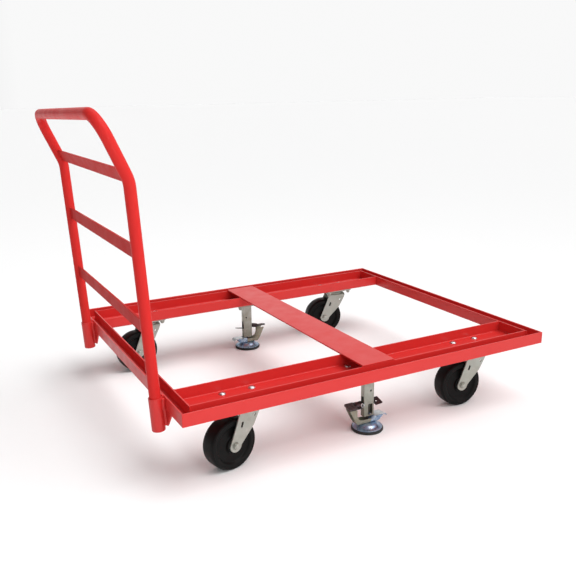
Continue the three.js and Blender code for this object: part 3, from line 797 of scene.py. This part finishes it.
# ---------- floor locks ----------
LOCK_OFFSET = 6  # the plate's middle, sideways from the post's
STRAP_SEAM = 6  # where the strap's olive finish turns blue, along its length
POST = (38, 20, 47)  # width, depth, lower end


def lock_post():
    width, depth, low = POST
    high = CASTER_HEIGHT - PLATE[2] + 1
    post = prism(rectangle(width, depth, 3.4), low, high)
    hollow = prism(rectangle(width - 5, depth - 5, 1.4), low - 1, high - 3)
    slot = prism(rectangle(16, 36, 2.2, 4.4, 68.5), -20, 0, "y")
    window = prism(rectangle(14.4, 33, 2.5, 0, 95.5), -30, 30, "x")
    pin = at(lathe([(0, -20), (3.2, -20), (3.2, 20), (0, 20)], 32, "y"), 6, 0, 130)
    return bevel(cut(post, hollow, slot, window, pin), 0.5, 2)


def lock_plunger():
    side = [(3.6, 27.6), (4.6, 28.6), (4.6, 150.6), (6.9, 150.6), (6.9, 153.4), (6.3, 154)]
    return lathe([(0, 27.6), *side, (0, 154)], 32)


def lock_strap():
    """A channel-shaped strap: two cheeks bent up from a web under the post."""
    low, reach, sheet = 25.5, 11.65, 2.5
    bend = rounded([(-reach, 95), (-reach, low), (reach, low), (reach, 95)], 3.4, 6, closed=False)
    body = prism(strip(bend, sheet), -85, 60, "x")
    corners = [(34, 24), (42, 32), (44.5, 38), (42, 41.6), (34, 41.6), (30, 38), (-24, 38)]
    corners += [(-33, 40), (-40, 46), (-45, 58), (-45, 76), (-71.8, 79.4), (-53.3, 41), (-42, 24)]
    radii = [3, 12, 3, 3.4, 3.4, 4, 6, 14, 14, 14, 2, 2, 30, 12]
    boolean(body, "INTERSECT", prism(rounded(corners, radii), -60, 60, "y"))
    pin = [(0, -16.5), (2.6, -16.5), (3, -16), (3, 16), (2.6, 16.5), (0, 16.5)]
    return join(bevel(body, 0.5, 2), at(lathe(pin, 28, "y"), 38, 0, 38))


def foot_cup():
    above = [(46.4, 9.4), (47, 10.2), (46.7, 11.6), (45.2, 12.3), (42.0, 12.9), (38.0, 14.3), (34.4, 16.8)]
    above += [(31.0, 20.2), (28.2, 22.6), (25.0, 23.7), (21, 24.0), (8, 24.0)]
    below = [(8, 21.6), (24, 21.4), (28.5, 18.6), (33, 13.6), (38, 10.6), (44, 9.4)]
    return lathe([(0, 21.6), *below, *above, (0, 24)], 72)


def foot_pad():
    side = [(47.4, 0), (49.2, 0.6), (50, 2.4), (50, 6.8), (49.2, 8.6), (47.6, 9.2)]
    return lathe([(18, 0), *side, (40, 9.2), (38, 8.6), (18, 8.6), (18, 0)], 72)


def knurl(x0, x1, y0, y1, z, pitch=3.4):
    """Rows of small raised diamonds."""
    verts, faces = [], []
    nx, ny = int((x1 - x0) / pitch), int((y1 - y0) / pitch)
    for i in range(nx):
        for j in range(ny):
            x = x0 + (i + 0.5) * (x1 - x0) / nx
            y = y0 + (j + 0.5) * (y1 - y0) / ny
            r, n = pitch * 0.48, len(verts)
            verts += [(x - r, y, z), (x, y - r, z), (x + r, y, z), (x, y + r, z), (x, y, z + 1.1)]
            faces += [(n, n + 1, n + 4), (n + 1, n + 2, n + 4), (n + 2, n + 3, n + 4), (n + 3, n, n + 4)]
            faces.append((n + 3, n + 2, n + 1, n))
    return make(verts, faces)


STEP_TILT = Matrix.Translation((0, 0, 85)) @ Matrix.Rotation(math.radians(14), 4, "X")


def step_plate():
    """The pedal's plate with its waist in the post; the right end bends up a little."""
    front = [(-76, -17), (-28, -17), (-22, -6.5), (21, -6.5), (21.5, -17), (46, -17)]
    line = rounded(front + [(x, -y) for x, y in front[::-1]], [3, 3, 3, 0.5, 0.5, 3, 3, 0.5, 0.5, 3, 3, 3])
    hole = at(lathe([(0, -5), (3.6, -5), (3.6, 5), (0, 5)], 28), 32, 0, 0)
    plate = bevel(cut(prism(line, -1.5, 1.5), hole), 0.5, 2)
    for vertex in plate.data.vertices:
        vertex.co.z += max(vertex.co.x - 20, 0) * 0.13
    return plate


def step_rib():
    """The thick rounded back of the pedal's arm, rising towards the post."""
    line = [(-47, -1.5), (-46, 0.2), (-41, 1.6), (-34, 3.2), (-27, 4.4), (-23.6, 5.0), (-22.4, 5.2)]
    rib = sweep([(x, 0, z) for x, z in line], [3, 6.4, 8.2, 8.6, 8.8, 8.2, 7.0], 28)
    rib.data.transform(Matrix.Diagonal((1, 1.25, 1, 1)))
    return rib


def step_tread():
    pad = bevel(prism(rectangle(31, 34, 2.5, -60.5, 0), 1.0, 4.0), 0.8, 2)
    return join(pad, knurl(-74, -47, -15, 15, 3.9))


def release_plate():
    """A bent foot plate with rounded corners, and two ears on the hinge pin."""
    bend = rounded([(21, 43), (28, 45), (38, 45.4), (54, 45), (60, 42.5), (62.5, 37)], 7, 5, closed=False)
    plate = prism(strip(bend, 2.6), -15.3, 15.3, "y")
    boolean(plate, "INTERSECT", prism(rectangle(52, 30.6, 5, 43.5, 0), 20, 60))
    corners = [(7, 44), (6, 36), (13, 34), (22, 40), (31, 41), (33, 34.4), (44, 34.4), (50, 45), (28, 46)]
    line = rounded(corners, [2, 3, 4, 5, 3, 5, 5, 0, 0])
    ears = [prism(line, side * 14.3 - 1, side * 14.3 + 1, "y") for side in (-1, 1)]
    return join(bevel(plate, 0.6, 2), *[bevel(ear, 0.4, 2) for ear in ears])


def step_spring():
    """The pedal's small torsion spring, beside the post."""
    turns, per_turn = 3, 20
    path = []
    for k in range(turns * per_turn + 1):
        a = 2 * math.pi * k / per_turn
        path.append((5.4 * math.cos(a), -15.2 + 1.9 * k / per_turn, 5.4 * math.sin(a)))
    return at(sweep(path, 0.9, 12), -26.5, 0, 88.5)


for name, sign in (("lock_right", -1), ("lock_left", 1)):
    low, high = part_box(f"{name}_foot_pad")
    middle = (low + high) * 500
    place = turned_z(180 if sign > 0 else 0, middle.x, middle.y)
    deck_place = place @ Matrix.Translation((0, LOCK_OFFSET, 0))
    foot, release = f"{name}_foot_body", f"{name}_release_body"
    housing = join(lock_post(), at(join(top_plate(), copies(nut_set(), bolt_places())), 0, LOCK_OFFSET, 0))
    piece(f"{name}_post", housing, place, POST_ZINC, "deck", "zinc", f"{name}_housing")
    piece(f"{name}_bolt_heads", copies(bolt_set(), bolt_places()), deck_place, BRIGHT, "deck", "zinc")
    piece(f"{name}_plunger_rod", lock_plunger(), place, DARK, foot, "dark_steel", f"{name}_plunger")
    strap = split_at(lock_strap(), STRAP_SEAM)
    to_right = [polygon.center.x > STRAP_SEAM for polygon in strap.data.polygons]
    piece(f"{name}_strap", strap, place, OLIVE, foot, "blue_zinc", f"{name}_yoke")
    strap.data.materials.append(BLUE)
    strap.data.polygons.foreach_set("material_index", to_right)
    piece(f"{name}_cup", foot_cup(), place, BLUE, foot, "blue_zinc", f"{name}_foot_cup")
    piece(f"{name}_pad_ring", foot_pad(), place, RUBBER, foot, "rubber", f"{name}_foot_pad")
    step = join(step_plate(), step_rib())
    piece(f"{name}_step_plate", step, place @ STEP_TILT, DARK, foot, "dark_steel", f"{name}_step_pedal")
    piece(f"{name}_step_tread", step_tread(), place @ STEP_TILT, GRIP, foot, "dark_steel")
    piece(f"{name}_step_spring", step_spring(), place, BRIGHT, foot, "zinc")
    pedal = release_plate()
    ears = [abs(polygon.center.y) > 12 and polygon.center.z < 43.4 for polygon in pedal.data.polygons]
    piece(f"{name}_release_plate", pedal, place, BRIGHT, release, "blue_zinc", f"{name}_release_pedal")
    pedal.data.materials.append(BLUE)
    pedal.data.polygons.foreach_set("material_index", ears)
    # The return spring is the CAD node itself, in bright zinc.
    frame["nodes"][f"{name}_spring"].data.materials.clear()
    frame["nodes"][f"{name}_spring"].data.materials.append(BRIGHT)


# ---------- floor, light, camera ----------
SKY, HORIZON, BEHIND = 0.5, 0.945, 0.3  # strengths overhead and at the horizon, and the share left at -X
VIEW_TURN = (28.110, 15.202, -0.903)  # yaw, pitch and roll, degrees
VIEW_PLACE = Vector((-554.4, -1620.6, 1023.2))  # from the deck's near rear corner, over the floor
VIEW_LENS, VIEW_SENSOR = 45.28, 36


def studio():
    floor_material = Shader("pale_floor", (0.92, 0.92, 0.92), 0.8, Specular_IOR_Level=0.2)
    floor = make([(-60, -60, 0), (60, -60, 0), (60, 60, 0), (-60, 60, 0)], [(0, 1, 2, 3)])
    floor.name = "studio_floor"
    floor.data.materials.append(floor_material.material)
    sky = bpy.data.worlds.new("studio")
    sky.use_nodes = True
    tree = sky.node_tree
    split = tree.nodes.new("ShaderNodeSeparateXYZ")
    tree.links.new(tree.nodes.new("ShaderNodeTexCoord").outputs["Generated"], split.inputs[0])
    product = tree.nodes.new("ShaderNodeMath")
    product.operation = "MULTIPLY"
    # Bright at the horizon, softer overhead, and darker behind the handle.
    fades = (("Z", (0.22, 0.6, HORIZON, SKY)), ("X", (-0.35, 0.15, BEHIND, 1.0)))
    for number, (axis, limits) in enumerate(fades):
        fade = tree.nodes.new("ShaderNodeMapRange")
        for socket, value in zip(("From Min", "From Max", "To Min", "To Max"), limits):
            fade.inputs[socket].default_value = value
        tree.links.new(split.outputs[axis], fade.inputs["Value"])
        tree.links.new(fade.outputs["Result"], product.inputs[number])
    tree.links.new(product.outputs[0], tree.nodes["Background"].inputs["Strength"])
    tree.nodes["Background"].inputs["Color"].default_value = (1, 1, 1, 1)
    bpy.context.scene.world = sky


def sun(name, direction, strength, spread):
    """A broad, even light from a direction."""
    light = bpy.data.lights.new(name, "SUN")
    light.energy, light.angle = strength, math.radians(spread)
    lamp = bpy.data.objects.new(name, light)
    lamp.rotation_mode = "QUATERNION"
    lamp.rotation_quaternion = Vector(direction).to_track_quat("Z", "Y")
    bpy.context.scene.collection.objects.link(lamp)


def softbox(name, place, target, size, power):
    light = bpy.data.lights.new(name, "AREA")
    light.shape, light.size, light.size_y, light.energy = "RECTANGLE", size[0], size[1], power
    lamp = bpy.data.objects.new(name, light)
    lamp.location = place
    lamp.rotation_mode = "QUATERNION"
    lamp.rotation_quaternion = (Vector(target) - Vector(place)).to_track_quat("-Z", "Y")
    bpy.context.scene.collection.objects.link(lamp)


def camera():
    yaw, pitch, roll = (math.radians(turn) for turn in VIEW_TURN)
    forward = Vector((math.sin(yaw) * math.cos(pitch), math.cos(yaw) * math.cos(pitch), -math.sin(pitch)))
    level = Vector((math.cos(yaw), -math.sin(yaw), 0))
    upright = level.cross(forward)
    right = level * math.cos(roll) + upright * math.sin(roll)
    up = upright * math.cos(roll) - level * math.sin(roll)
    data = bpy.data.cameras.new("photo_view")
    data.lens, data.sensor_width = VIEW_LENS, VIEW_SENSOR
    data.clip_start, data.clip_end = 0.05, 200
    view = bpy.data.objects.new("photo_view", data)
    spot = (Vector((DECK_X + REAR, -DECK_WIDTH / 2, 0)) + VIEW_PLACE) / 1000
    turn = Matrix((right, up, -forward)).transposed()
    view.matrix_world = Matrix.Translation(spot) @ turn.to_4x4()
    bpy.context.scene.collection.objects.link(view)
    bpy.context.scene.camera = view


studio()
sun("key", (0.4, -0.38, 1.0), 2.3, 50)
softbox("window", (-2.6, -2.4, 1.7), (-0.4, 0, 0.45), (0.3, 1.6), 9)
softbox("strip", (-0.35, -2.3, 1.15), (0.07, -0.44, 0.1), (0.12, 1.5), 10)
softbox("overhead", (0.2, 0.8, 3.2), (0, 0, 0.2), (2.4, 1.2), 10)
camera()
bpy.context.scene.view_settings.view_transform = "Standard"
